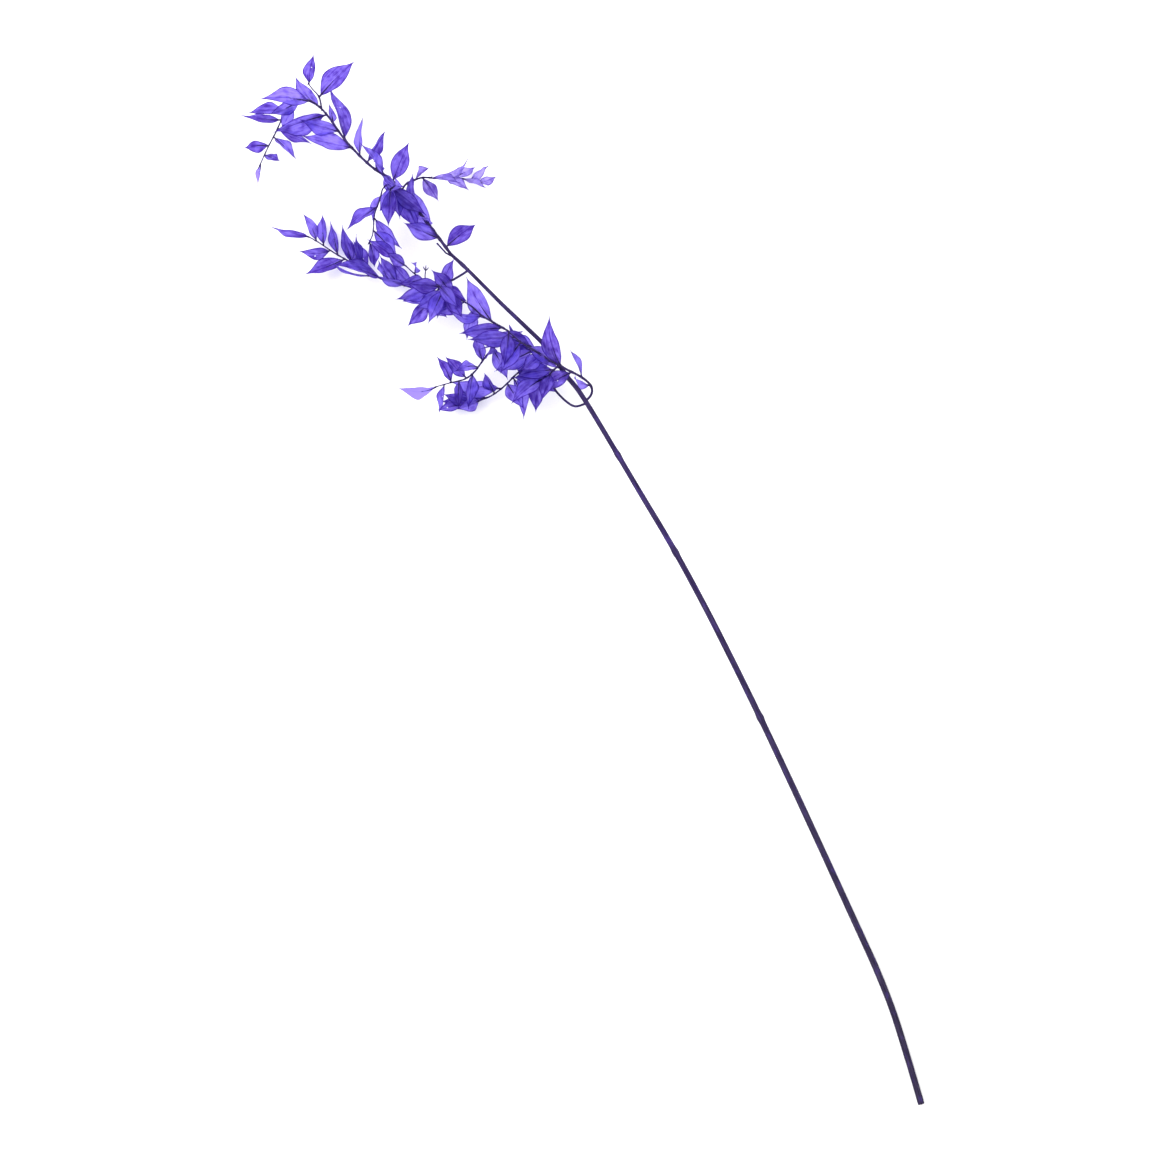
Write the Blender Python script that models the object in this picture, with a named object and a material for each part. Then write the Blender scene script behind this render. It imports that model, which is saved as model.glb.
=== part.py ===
"""A cut stem of dried, dyed ruscus, lying on its side. A bare woody stalk carries a crown spray at its
end and four side sprays, and each spray is a twig with its leaf-like blades fused to it. The routes
are in millimetres from the cut end of the stalk, with X to the right and Y along the stem."""

import itertools
import math
import random
from typing import NamedTuple

import bmesh
import bpy
from mathutils import Matrix, Vector, geometry
from mathutils.bvhtree import BVHTree

MM = 0.001

STALK_RADIUS = 2.85
LEVEL_FACET = STALK_RADIUS * math.cos(math.pi / 8)  # height of the stalk's middle where a facet lies flat
SEAT_GAP = 0.3
ROUTE_STEP = 8.0
STALK_STEP = 14.0

BLADE_THICKNESS = 0.7
BLADE_CLEARANCE = 0.25
BLADE_ASPECT = 0.43
BLADE_ROWS = 6
BLADE_BELLY = 0.82  # under 1, so that a blade is widest below its middle
BASE_POWER = 1.1  # the outline's power at the base
TIP_POWER = 0.65  # how much that power grows towards the drawn-out tip
FULL_BLADE = 35.0
END_SHORTENING = 0.25  # how much shorter a full blade is at its twig's end
HIDDEN_SHARE = 0.45  # the share of a blade's shortfall from a full one that its tilt hides
LAST_LEAF = 0.985
OFF_TWIG = math.radians(30)
PETIOLE_HALF_WIDTH = 0.5
PETIOLE_SHARE = 0.05
PETIOLE_END = 0.12
TIP_HALF_WIDTH = 0.2
FLOOR_CLEARANCE = 0.3

# The spreads of the draws: headings in degrees, twists in radians, and the rest as in Blade.
HEADING_SPREAD = (-4, 4)
BENDS = (-0.12, 0.18)
CURLS = (-0.12, 0.12)
FOLDS = (0.1, 0.65)
SICKLES = (-0.11, 0.11)
TWISTS = (-0.5, 0.5)

# The changes of pose that a blade may try for room, in degrees and as a share of its length.
TURNS = range(-72, 73, 8)
SPINS = range(-60, 61, 20)
SWINGS = (-18, -9, 0, 9, 18)
SHRINKS = (1, 0.86, 0.72)
# The degrees of each change that count as one step of effort, and the steps that shrinking to nothing would.
EASY_TURN = 8
EASY_SPIN = 14
EASY_SWING = 6
SHRINK_EFFORT = 30

LEAF_VIOLET = (0.19, 0.10, 0.72, 1.0)
STALK_PURPLE = (0.045, 0.022, 0.075, 1.0)


class Leaf(NamedTuple):
    """A blade as it shows from above: its heading in degrees from +X, its length and its width."""

    heading: float
    length: float
    width: float


class Twig(NamedTuple):
    """The points that a twig runs through, its radius at each end, where its first blade grows as a share
    of the way, and its blades in order."""

    route: tuple
    radii: tuple
    first_leaf: float = 0.0
    leaves: tuple = ()


STALK = Twig(
    route=(
        (0, 0, LEVEL_FACET), (-10, 34, LEVEL_FACET), (-22, 72, LEVEL_FACET), (-35, 105, 3.4),
        (-50, 138, 4.9), (-84, 212, 9), (-121, 291, 14), (-158, 366, 19), (-190, 426, 24),
        (-222, 480, 28), (-261, 545, 33), (-276, 565, 35), (-291, 586, 36), (-306, 601, 37),
        (-326, 620, 39), (-351, 645, 41), (-364, 657, 42),
    ),
    radii=(STALK_RADIUS, 1.45),
)

CROWN = Twig(
    route=(
        (-364, 657, 42), (-376, 673, 43), (-386, 686, 44), (-402, 706, 45), (-410, 714, 45),
        (-426, 725, 45), (-444, 743, 46), (-457, 761, 46), (-465, 770, 46), (-473, 775, 45),
        (-481, 776, 43), (-488, 771, 40), (-494, 763, 35), (-500, 752, 28), (-506, 742, 22),
        (-514, 726, 17),
    ),
    radii=(1.45, 0.7),
    first_leaf=0.03,
    leaves=(
        Leaf(46, 31, 14), Leaf(160, 31, 13), Leaf(118, 33, 14), Leaf(144, 26, 5), Leaf(135, 32, 9),
        Leaf(110, 24, 9), Leaf(138, 27, 8), Leaf(160, 20, 8), Leaf(73, 33, 14), Leaf(126, 29, 9),
        Leaf(91, 25, 5), Leaf(62, 28, 6), Leaf(91, 31, 7), Leaf(160, 40, 15), Leaf(111, 44, 6),
        Leaf(170, 32, 12), Leaf(111, 18, 8), Leaf(191, 43, 13), Leaf(134, 34, 7), Leaf(177, 38, 16),
        Leaf(205, 26, 10), Leaf(257, 18, 11), Leaf(183, 30, 9), Leaf(171, 32, 10), Leaf(340, 28, 7),
        Leaf(314, 26, 8), Leaf(177, 21, 8), Leaf(324, 15, 6), Leaf(250, 18, 4),
    ),
)

CROWN_TOP = Twig(
    route=((-463, 767, 46), (-465, 777, 49), (-470, 783, 51), (-473, 787, 51)),
    radii=(0.9, 0.7),
    first_leaf=0.45,
    leaves=(Leaf(47, 39, 16), Leaf(79, 22, 9)),
)

CROWN_TUFT = Twig(
    route=((-407, 711, 45), (-405, 710, 51), (-407, 708, 56), (-410, 706, 60)),
    radii=(0.9, 0.7),
    first_leaf=0.4,
    leaves=(
        Leaf(296, 40, 17), Leaf(312, 24, 10), Leaf(284, 22, 12), Leaf(255, 18, 8), Leaf(322, 33, 13),
        Leaf(272, 30, 12),
    ),
)

LEFT = Twig(
    route=(
        (-351, 645, 41), (-358, 641, 36), (-366, 637, 32), (-376, 634, 27), (-394, 634, 20),
        (-407, 637, 17), (-425, 643, 14), (-444, 654, 13), (-456, 661, 12), (-468, 669, 12),
        (-477, 674, 12),
    ),
    radii=(1.15, 0.7),
    first_leaf=0.35,
    leaves=(
        Leaf(131, 24, 10), Leaf(165, 21, 8), Leaf(127, 27, 12), Leaf(113, 19, 3), Leaf(161, 39, 13),
        Leaf(163, 37, 9), Leaf(112, 29, 11), Leaf(99, 24, 7), Leaf(106, 31, 11), Leaf(205, 33, 12),
        Leaf(101, 28, 9), Leaf(188, 25, 8), Leaf(87, 25, 9), Leaf(110, 23, 7), Leaf(165, 29, 8),
    ),
)

LEFT_TUFT = Twig(
    route=((-370, 636, 31), (-374, 632, 28), (-378, 627, 24), (-381, 622, 21)),
    radii=(0.9, 0.7),
    first_leaf=0.1,
    leaves=(
        Leaf(64, 21, 10), Leaf(340, 18, 9), Leaf(170, 22, 12), Leaf(204, 26, 12), Leaf(300, 18, 12),
        Leaf(228, 27, 12),
    ),
)

MIDDLE = Twig(
    route=(
        (-261, 545, 33), (-257, 549, 37), (-256, 554, 40), (-259, 559, 43), (-266, 564, 44),
        (-274, 568, 44), (-290, 577, 43), (-300, 584, 42), (-312, 593, 41), (-326, 602, 39),
        (-340, 610, 37), (-349, 618, 36), (-361, 625, 35), (-382, 636, 43), (-392, 642, 47),
        (-400, 649, 50), (-408, 655, 51),
    ),
    radii=(1.2, 0.7),
    first_leaf=0.08,
    leaves=(
        Leaf(150, 17, 8), Leaf(122, 22, 4), Leaf(205, 30, 14), Leaf(111, 40, 14), Leaf(190, 30, 13),
        Leaf(222, 26, 12), Leaf(176, 30, 13), Leaf(206, 32, 13), Leaf(228, 24, 11), Leaf(191, 34, 13),
        Leaf(120, 40, 14), Leaf(176, 27, 9), Leaf(252, 29, 11), Leaf(200, 26, 12), Leaf(131, 27, 12),
        Leaf(259, 17, 11), Leaf(208, 32, 13), Leaf(185, 20, 11), Leaf(101, 10, 3), Leaf(150, 18, 9),
        Leaf(143, 24, 11),
    ),
)

MIDDLE_TUFT = Twig(
    route=((-281, 572, 44), (-286, 568, 41), (-291, 563, 37), (-297, 561, 33)),
    radii=(0.9, 0.7),
    first_leaf=0.25,
    leaves=(
        Leaf(190, 30, 14), Leaf(240, 22, 12), Leaf(170, 29, 13), Leaf(208, 32, 14), Leaf(258, 24, 11),
    ),
)

MIDDLE_FAN = Twig(
    route=((-294, 580, 43), (-300, 583, 48), (-309, 588, 53), (-320, 597, 56)),
    radii=(0.9, 0.7),
    first_leaf=0.1,
    leaves=(
        Leaf(162, 38, 15), Leaf(206, 34, 13), Leaf(330, 32, 12), Leaf(236, 30, 13), Leaf(186, 36, 14),
        Leaf(262, 28, 12),
    ),
)

MIDDLE_TOP = Twig(
    route=((-361, 625, 35), (-365, 628, 42), (-369, 630, 48), (-374, 633, 53)),
    radii=(0.9, 0.7),
    first_leaf=0.4,
    leaves=(Leaf(204, 30, 14), Leaf(286, 26, 12), Leaf(242, 29, 13), Leaf(172, 27, 11), Leaf(318, 22, 10)),
)

MIDDLE_SIDE = Twig(
    route=(
        (-319, 597, 40), (-326, 591, 38), (-330, 587, 37), (-337, 580, 35), (-343, 572, 33),
        (-347, 567, 32), (-354, 562, 31), (-366, 559, 30), (-377, 556, 29),
    ),
    radii=(0.95, 0.7),
    first_leaf=0.25,
    leaves=(
        Leaf(301, 25, 12), Leaf(72, 18, 7), Leaf(115, 21, 9), Leaf(190, 18, 7), Leaf(267, 27, 10),
        Leaf(132, 22, 10), Leaf(266, 20, 8), Leaf(125, 21, 8), Leaf(255, 22, 6), Leaf(187, 29, 5),
    ),
)

LOWER = Twig(
    route=(
        (-261, 543, 33), (-269, 541, 31), (-276, 545, 29), (-283, 552, 27), (-287, 558, 26),
        (-295, 565, 24), (-306, 569, 22), (-312, 568, 20), (-316, 565, 18), (-322, 559, 16),
        (-328, 554, 14), (-336, 549, 12), (-348, 545, 10), (-357, 543, 9),
    ),
    radii=(1.15, 0.7),
    first_leaf=0.27,
    leaves=(
        Leaf(130, 15, 6), Leaf(140, 24, 12), Leaf(160, 26, 12), Leaf(125, 22, 11), Leaf(322, 30, 14),
        Leaf(293, 14, 9), Leaf(296, 33, 10), Leaf(300, 30, 15), Leaf(169, 41, 15), Leaf(110, 20, 9),
        Leaf(171, 38, 13), Leaf(205, 23, 5), Leaf(168, 24, 10), Leaf(196, 18, 8),
    ),
)

RIGHT = Twig(
    route=(
        (-402, 706, 45), (-399, 711, 42), (-394, 714, 39), (-386, 717, 34), (-375, 717, 28),
        (-362, 718, 20), (-350, 717, 15), (-343, 714, 13),
    ),
    radii=(0.95, 0.7),
    first_leaf=0.12,
    leaves=(
        Leaf(292, 28, 8), Leaf(31, 16, 5), Leaf(312, 20, 9), Leaf(352, 24, 7), Leaf(27, 28, 7),
        Leaf(345, 20, 7), Leaf(36, 24, 6), Leaf(332, 22, 6), Leaf(45, 18, 6), Leaf(10, 15, 6),
    ),
)

HANGING = Twig(
    route=(
        (-376, 672, 43), (-382, 674, 39), (-388, 678, 37), (-395, 688, 36), (-402, 697, 36),
        (-409, 707, 36), (-413, 711, 36), (-417, 708, 36), (-419, 700, 36), (-423, 689, 36),
        (-424, 679, 36), (-425, 672, 36), (-428, 666, 36),
    ),
    radii=(0.95, 0.7),
    first_leaf=0.45,
    leaves=(
        Leaf(120, 20, 8), Leaf(283, 16, 9), Leaf(243, 25, 7), Leaf(214, 30, 11), Leaf(309, 31, 10),
        Leaf(311, 29, 12), Leaf(281, 20, 7),
    ),
)


def clear_scene():
    for thing in list(bpy.data.objects):
        bpy.data.objects.remove(thing)


def make_material(name, colour, roughness):
    material = bpy.data.materials.new(name)
    material.use_nodes = True
    shader = material.node_tree.nodes["Principled BSDF"]
    shader.inputs["Base Color"].default_value = colour
    shader.inputs["Roughness"].default_value = roughness
    shader.inputs["Metallic"].default_value = 0.0
    material.diffuse_color = colour
    return material


def smooth_route(route, step):
    """Points about a step apart on a smooth curve through the route's own points."""
    knots = [Vector(point) for point in route]
    knots = [2 * knots[0] - knots[1], *knots, 2 * knots[-1] - knots[-2]]
    points = []
    for before, start, end, after in zip(knots, knots[1:], knots[2:], knots[3:]):
        count = max(1, round((end - start).length / step))
        handles = start + (end - before) / 6, end - (after - start) / 6
        points += geometry.interpolate_bezier(start, *handles, end, count + 1)[:-1]
    return points + [knots[-2]]


def along(points, station):
    """The place and the direction at a share of the way along the points."""
    lengths = [(end - start).length for start, end in zip(points, points[1:])]
    left = station * sum(lengths)
    for start, end, length in zip(points, points[1:], lengths):
        if left <= length:
            break
        left -= length
    return start.lerp(end, min(left / length, 1)), (end - start).normalized()


def tube(name, points, radii, grow=0.0):
    """A tapered tube with flat ends. Grow adds to its radius and to both of its ends."""
    points = list(points)
    points[0] = points[0] - (points[1] - points[0]).normalized() * grow
    points[-1] = points[-1] + (points[-1] - points[-2]).normalized() * grow
    curve = bpy.data.curves.new(name, "CURVE")
    curve.dimensions = "3D"
    curve.twist_mode = "Z_UP"
    curve.bevel_depth = MM
    curve.bevel_resolution = 2 if radii[0] > 2 else 1
    curve.use_fill_caps = True
    line = curve.splines.new("POLY")
    line.points.add(len(points) - 1)
    for index, (knot, point) in enumerate(zip(line.points, points)):
        share = index / (len(points) - 1)
        knot.co = (*(point * MM), 1)
        knot.radius = grow + radii[0] + (radii[1] - radii[0]) * share**3
        knot.tilt = math.pi / 8
    guide = bpy.data.objects.new("guide", curve)
    bpy.context.scene.collection.objects.link(guide)
    mesh = bpy.data.meshes.new_from_object(guide.evaluated_get(bpy.context.evaluated_depsgraph_get()))
    mesh.name = name
    shell = bmesh.new()
    shell.from_mesh(mesh)
    bmesh.ops.remove_doubles(shell, verts=shell.verts, dist=0.001 * MM)
    bmesh.ops.recalc_face_normals(shell, faces=shell.faces)
    shell.to_mesh(mesh)
    shell.free()
    solid = bpy.data.objects.new(name, mesh)
    solid.matrix_world = guide.matrix_world
    bpy.data.objects.remove(guide)
    bpy.context.scene.collection.objects.link(solid)
    return solid


def half_width(share, length):
    """Half of a blade's width at a share of its length: widest below the middle, with a drawn-out tip."""
    ripe = max(0, share - PETIOLE_SHARE) / (1 - PETIOLE_SHARE)
    outline = math.sin(math.pi * ripe**BLADE_BELLY) ** (BASE_POWER + TIP_POWER * ripe) if 0 < ripe < 1 else 0
    least = PETIOLE_HALF_WIDTH + (TIP_HALF_WIDTH - PETIOLE_HALF_WIDTH) * share
    return max(least, outline * BLADE_ASPECT * length / 2)


class Blade(NamedTuple):
    """How a blade grows: angles in radians, lengths in millimetres, and bend, curl and sickle as shares
    of its length. Fold is the slope of its halves."""

    root: Vector
    heading: float
    lift: float
    roll: float
    length: float
    bend: float
    curl: float
    fold: float
    sickle: float
    twist: float


def blade_shell(blade, thickness, start=0.0, margin=0.0):
    """A closed blade of even thickness in millimetres, folded along its midrib, bowed and twisted. Start
    is the share of its length where it begins, and margin widens and lengthens it."""
    level = math.cos(blade.lift)
    ahead = Vector((math.cos(blade.heading) * level, math.sin(blade.heading) * level, math.sin(blade.lift)))
    flat = Vector((0, 0, 1)).cross(ahead).normalized()
    end = 1 + margin / blade.length
    shell = bmesh.new()
    bmesh.ops.create_grid(shell, x_segments=2, y_segments=BLADE_ROWS, size=1)
    for vertex in shell.verts:
        share = start + (end - start) * (vertex.co.y + 1) / 2
        across = Matrix.Rotation(blade.roll + blade.twist * share, 3, ahead) @ flat
        out = ahead.cross(across)
        side = vertex.co.x * (half_width(share, blade.length) + margin)
        sway = blade.sickle * blade.length * share**2
        rise = blade.length * (blade.bend * share * (1 - share) * 2 + blade.curl * share**3)
        rise += blade.fold * abs(side) * math.sin(math.pi * share)
        vertex.co = blade.root + ahead * blade.length * share + across * (side + sway) + out * rise
    bmesh.ops.triangulate(shell, faces=shell.faces[:])
    shell.normal_update()
    for vertex in shell.verts:
        vertex.co -= vertex.normal * thickness / 2
    bmesh.ops.solidify(shell, geom=shell.faces[:], thickness=-thickness)
    bmesh.ops.recalc_face_normals(shell, faces=shell.faces[:])
    return shell


def grow_blades(twig, draw):
    """The blades of a twig as they would stand with room all round them."""
    points = smooth_route(twig.route, ROUTE_STEP)
    for index, leaf in enumerate(twig.leaves):
        station = twig.first_leaf + (LAST_LEAF - twig.first_leaf) * index / (len(twig.leaves) - 1)
        root, direction = along(points, station)
        heading = math.radians(leaf.heading + draw.uniform(*HEADING_SPREAD))
        off_twig = math.acos(min(1, direction.xy.normalized().dot((math.cos(heading), math.sin(heading)))))
        shortfall = max(1, FULL_BLADE * (1 - END_SHORTENING * station) - leaf.length)
        length = leaf.length + HIDDEN_SHARE * shortfall
        lift = max(math.acos(leaf.length / length), math.sqrt(max(0, OFF_TWIG**2 - off_twig**2)))
        length = leaf.length / math.cos(lift)
        yield Blade(
            root=root,
            heading=heading,
            lift=-lift if index % 2 == 0 and root.z > length * math.sin(lift) + FLOOR_CLEARANCE else lift,
            roll=draw.choice((-1, 1)) * math.acos(min(1, leaf.width / (BLADE_ASPECT * length))),
            length=length,
            bend=draw.uniform(*BENDS),
            curl=draw.uniform(*CURLS),
            fold=draw.uniform(*FOLDS),
            sickle=draw.uniform(*SICKLES),
            twist=draw.uniform(*TWISTS),
        )


def effort(change):
    """How far a change of pose takes a blade from the photographed one."""
    turn, spin, swing, shrink = change
    bending = abs(turn) / EASY_TURN + abs(spin) / EASY_SPIN + abs(swing) / EASY_SWING
    return bending + (1 - shrink) * SHRINK_EFFORT


class Rooms(NamedTuple):
    """Search trees of the room that a blade takes: all of it, and the part past its petiole."""

    whole: BVHTree
    free: BVHTree


def room_of(blade, start):
    room = blade_shell(blade, BLADE_THICKNESS + 2 * BLADE_CLEARANCE, start, margin=BLADE_CLEARANCE)
    lowest = min(vertex.co.z for vertex in room.verts) + BLADE_CLEARANCE
    tree = BVHTree.FromBMesh(room)
    room.free()
    return tree, lowest


def settle(blade, kin, strangers):
    """The nearest pose of a blade that clears the floor, the blades of its own spray past their petioles,
    and everything of the other sprays. It comes with its rooms. A blade that finds none is left out."""
    for turn, spin, swing, shrink in CHANGES:
        posed = blade._replace(
            heading=blade.heading + math.radians(swing),
            lift=blade.lift + math.radians(turn),
            roll=blade.roll + math.radians(spin),
            length=blade.length * shrink,
        )
        free, lowest = room_of(posed, PETIOLE_END)
        if lowest <= FLOOR_CLEARANCE or any(free.overlap(other) for other in kin):
            continue
        whole, _ = room_of(posed, 0)
        if not any(whole.overlap(other) for other in strangers):
            return posed, Rooms(whole, free)
    return None


CHANGES = sorted(itertools.product(TURNS, SPINS, SWINGS, SHRINKS), key=effort)


def blade_solid(blade):
    shell = blade_shell(blade, BLADE_THICKNESS)
    bmesh.ops.scale(shell, verts=shell.verts[:], vec=(MM, MM, MM))
    mesh = bpy.data.meshes.new("blade")
    shell.to_mesh(mesh)
    shell.free()
    return bpy.data.objects.new("blade", mesh)


def apply_modifiers(solid):
    mesh = bpy.data.meshes.new_from_object(solid.evaluated_get(bpy.context.evaluated_depsgraph_get()))
    solid.modifiers.clear()
    solid.data = mesh


def combine(solid, others, operation):
    """Joins or cuts the solid with all of the others at once, and removes them."""
    group = bpy.data.collections.new("operands")
    bpy.context.scene.collection.children.link(group)
    for other in others:
        group.objects.link(other)
    change = solid.modifiers.new(operation.lower(), "BOOLEAN")
    change.operation = operation
    change.operand_type = "COLLECTION"
    change.collection = group
    change.solver = "EXACT"
    apply_modifiers(solid)
    for other in others:
        bpy.data.objects.remove(other)
    bpy.data.collections.remove(group)


def tree_of(solid):
    """A search tree in millimetres, since a crossing of smaller numbers goes unseen."""
    shell = bmesh.new()
    shell.from_mesh(solid.data)
    bmesh.ops.scale(shell, verts=shell.verts[:], vec=(1 / MM, 1 / MM, 1 / MM))
    tree = BVHTree.FromBMesh(shell)
    shell.free()
    return tree


def main():
    clear_scene()
    draw = random.Random(7)
    violet = make_material("leaf_violet", LEAF_VIOLET, 0.55)
    purple = make_material("stalk_purple", STALK_PURPLE, 0.6)

    sprays = {
        "crown_spray": ((CROWN, CROWN_TOP, CROWN_TUFT), STALK),
        "left_spray": ((LEFT, LEFT_TUFT), STALK),
        "middle_spray": ((MIDDLE, MIDDLE_TUFT, MIDDLE_FAN, MIDDLE_TOP, MIDDLE_SIDE), STALK),
        "lower_spray": ((LOWER,), STALK),
        "right_spray": ((RIGHT,), CROWN),
        "hanging_spray": ((HANGING,), CROWN),
    }
    routes = {twig: smooth_route(twig.route, ROUTE_STEP) for twigs, _ in sprays.values() for twig in twigs}
    routes[STALK] = smooth_route(STALK.route, STALK_STEP)
    for point in routes[STALK]:
        point.z = max(point.z, LEVEL_FACET)
    stalk = tube("main_stalk", routes[STALK], STALK.radii)
    stalk.data.materials.append(purple)

    twigs_of = {}
    wood = {"main_stalk": [tree_of(stalk)]}
    for name, (twigs, parent) in sprays.items():
        twigs_of[name] = [tube(name, routes[twig], twig.radii) for twig in twigs]
        wood[name] = [tree_of(twig) for twig in twigs_of[name]]
        seat = tube("seat", routes[parent], parent.radii, grow=SEAT_GAP)
        combine(twigs_of[name][0], [seat], "DIFFERENCE")

    grown = []
    for name, (twigs, _) in sprays.items():
        grown += [(name, blade) for twig in twigs for blade in grow_blades(twig, draw)]
    grown.sort(key=lambda item: -item[1].length * math.cos(item[1].lift))
    placed = []
    for name, blade in grown:
        kin = [rooms.free for other, rooms in placed if other == name]
        strangers = [rooms.whole for other, rooms in placed if other != name]
        strangers += [tree for other, trees in wood.items() if other != name for tree in trees]
        settled = settle(blade, kin, strangers)
        if settled is not None:
            placed.append((name, settled[1]))
            twigs_of[name].append(blade_solid(settled[0]))

    middle = bpy.data.objects.new("ruscus_stem", None)
    home = bpy.data.collections.new("ruscus_stem")
    bpy.context.scene.collection.children.link(home)
    home.objects.link(middle)
    for name, (solid, *others) in twigs_of.items():
        for other in others:
            for group in other.users_collection:
                group.objects.unlink(other)
        combine(solid, others, "UNION")
        solid.data.materials.clear()
        solid.data.materials.append(violet)
    corners = []
    for node in [stalk, *(solids[0] for solids in twigs_of.values())]:
        home.objects.link(node)
        bpy.context.scene.collection.objects.unlink(node)
        node.parent = middle
        corners += [vertex.co for vertex in node.data.vertices]
    for axis in (0, 1):
        middle.location[axis] = -(min(c[axis] for c in corners) + max(c[axis] for c in corners)) / 2


main()
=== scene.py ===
"""The looks of a cut stem of dried, dyed ruscus that lies on its side, seen from straight above.

The twigs, the leaf-like blades and the rule that places them repeat part.py, in millimetres from the cut
end of the stalk. Here they become fine blades with a drawn-out tip, a midrib and rippled edges, and bark
with nodes, scales and a cut end."""

import itertools
import math
import random
from typing import NamedTuple

import bmesh
import bpy
from mathutils import Matrix, Vector, geometry, noise
from mathutils.bvhtree import BVHTree


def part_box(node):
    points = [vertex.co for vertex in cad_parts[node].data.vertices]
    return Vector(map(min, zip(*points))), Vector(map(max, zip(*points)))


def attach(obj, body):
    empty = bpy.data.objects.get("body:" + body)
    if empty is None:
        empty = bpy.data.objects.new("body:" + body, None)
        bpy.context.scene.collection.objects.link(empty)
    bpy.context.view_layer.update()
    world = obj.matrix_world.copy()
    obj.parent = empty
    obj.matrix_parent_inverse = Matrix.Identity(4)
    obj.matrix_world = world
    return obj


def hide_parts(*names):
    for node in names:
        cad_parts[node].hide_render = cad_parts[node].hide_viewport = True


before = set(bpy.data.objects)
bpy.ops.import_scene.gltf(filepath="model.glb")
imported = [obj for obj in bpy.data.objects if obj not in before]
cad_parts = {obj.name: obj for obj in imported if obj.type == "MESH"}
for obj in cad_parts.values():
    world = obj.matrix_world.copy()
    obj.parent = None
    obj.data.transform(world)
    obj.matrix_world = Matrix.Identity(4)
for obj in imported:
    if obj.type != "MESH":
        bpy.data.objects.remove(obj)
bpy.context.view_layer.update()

MM = 0.001

PLACING_SEED = 7  # the same as in part.py, so that the blades stand in the same places
FINE_SEED = 11

# The placement rule, as in part.py.
STALK_RADIUS = 2.85
LEVEL_FACET = STALK_RADIUS * math.cos(math.pi / 8)  # height of the stalk's middle where a facet lies flat
ROUTE_STEP = 8.0
STALK_STEP = 14.0
BLADE_THICKNESS = 0.7
BLADE_CLEARANCE = 0.25
BLADE_ASPECT = 0.43
BLADE_ROWS = 6
BLADE_BELLY = 0.82  # under 1, so that a blade is widest below its middle
BASE_POWER = 1.1  # the outline's power at the base
TIP_POWER = 0.65  # how much that power grows towards the drawn-out tip
FULL_BLADE = 35.0
END_SHORTENING = 0.25  # how much shorter a full blade is at its twig's end
HIDDEN_SHARE = 0.45  # the share of a blade's shortfall from a full one that its tilt hides
LAST_LEAF = 0.985
OFF_TWIG = math.radians(30)
PETIOLE_HALF_WIDTH = 0.5
PETIOLE_SHARE = 0.05
PETIOLE_END = 0.12
TIP_HALF_WIDTH = 0.2
FLOOR_CLEARANCE = 0.3

# The spreads of the draws: headings in degrees, twists in radians, and the rest as in Blade.
HEADING_SPREAD = (-4, 4)
BENDS = (-0.12, 0.18)
CURLS = (-0.12, 0.12)
FOLDS = (0.1, 0.65)
SICKLES = (-0.11, 0.11)
TWISTS = (-0.5, 0.5)

# The changes of pose that a blade may try for room, in degrees and as a share of its length.
TURNS = range(-72, 73, 8)
SPINS = range(-60, 61, 20)
SWINGS = (-18, -9, 0, 9, 18)
SHRINKS = (1, 0.86, 0.72)
# The degrees of each change that count as one step of effort, and the steps that shrinking to nothing would.
EASY_TURN = 8
EASY_SPIN = 14
EASY_SWING = 6
SHRINK_EFFORT = 30

# The fine blades, in millimetres. Their outline wobbles, their edges ripple and their surface crumples.
FINE_ROWS = 26
FINE_COLUMNS = 10
FINE_THICKNESS = 0.36
FINE_TIP_HALF_WIDTH = 0.07
WOBBLE = 0.05  # at the most, as a share of the width
WOBBLES = 5  # how far the noise of the outline runs along a whole blade
HALVES_APART = 3  # how far apart the two halves of a blade lie in that noise
RIPPLE = 0.4
RIPPLES = (1.5, 3.0)  # on each edge
RIPPLE_TURN = 6.3  # in radians, about a full turn
CRUMPLE = 0.35
CRUMPLE_ALONG = 0.18  # how far the noise of the crumples runs along a millimetre of a blade
CRUMPLE_ACROSS = 0.3  # and across one
CRUMPLE_LAYER = 7  # sets it apart from the noise of the outline
NOISE_SPREAD = 90  # sets one blade apart from another in both
HOLED_SHARE = 0.16  # of the blades have a hole
HOLE_RADIUS = 0.55
HOLE_ROWS = (8, 17)  # a hole lies in one of these rows and columns, the last number left out
HOLE_COLUMNS = (3, 8)
CLEAR_SHARE = 0.5  # the share of light that goes straight through one face of a blade
THROUGH_SHARE = 0.62  # of the rest, the share that comes through scattered
DRIED_OUT_TONE = -0.9  # the tone of the palest blades, which grow at the ends of two twigs
DRIED_OUT_REACH = 4.0  # how near its twig's end such a blade grows

# The ribs on the blades. Their starts, ends and surfacing are shares of a blade's length.
RIB_STEPS = 8
RIB_START = 0.004
LONG_RIB_SHARE = 0.75  # of the ribs are long and end in a bud
LONG_RIB = (0.34, 0.46)
SHORT_RIB = (0.16, 0.22)
RIB_SURFACING = 0.1  # where a rib has come up from the middle of a blade to its face
RIB_RADIUS = 0.34
RIB_GROWTH = 0.006  # how much thicker a rib is for each millimetre of its blade
RIB_TAPER = 0.7
RIB_LEAST = 0.16

# The buds and scales, in millimetres. Their radii are how much they thin, and what is left at the point.
POINT_REACH = 1.05  # where they would have thinned in full, as a share of their length
BUD_SIGHT = (-0.02, 0.06)  # places round a rib's end, in shares of its blade, that the bud lines up with
BUD_LENGTHS = (1.3, 2.4)
BUD_SPINE = ((0, 0), (0.45, 0.25), (1, 0.45))  # share of its length onward, and millimetres off the blade
BUD_RADII = (0.34, 0.05)
SCALE_LEANS = ((-1, 1), (-1, 1), (-0.5, 1))  # the spans of X, Y and Z that a scale's lean is drawn from
SCALE_LEAN = 0.8
SCALE_LENGTHS = (1.5, 2.6)
SCALE_RADII = (0.42, 0.04)

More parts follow.
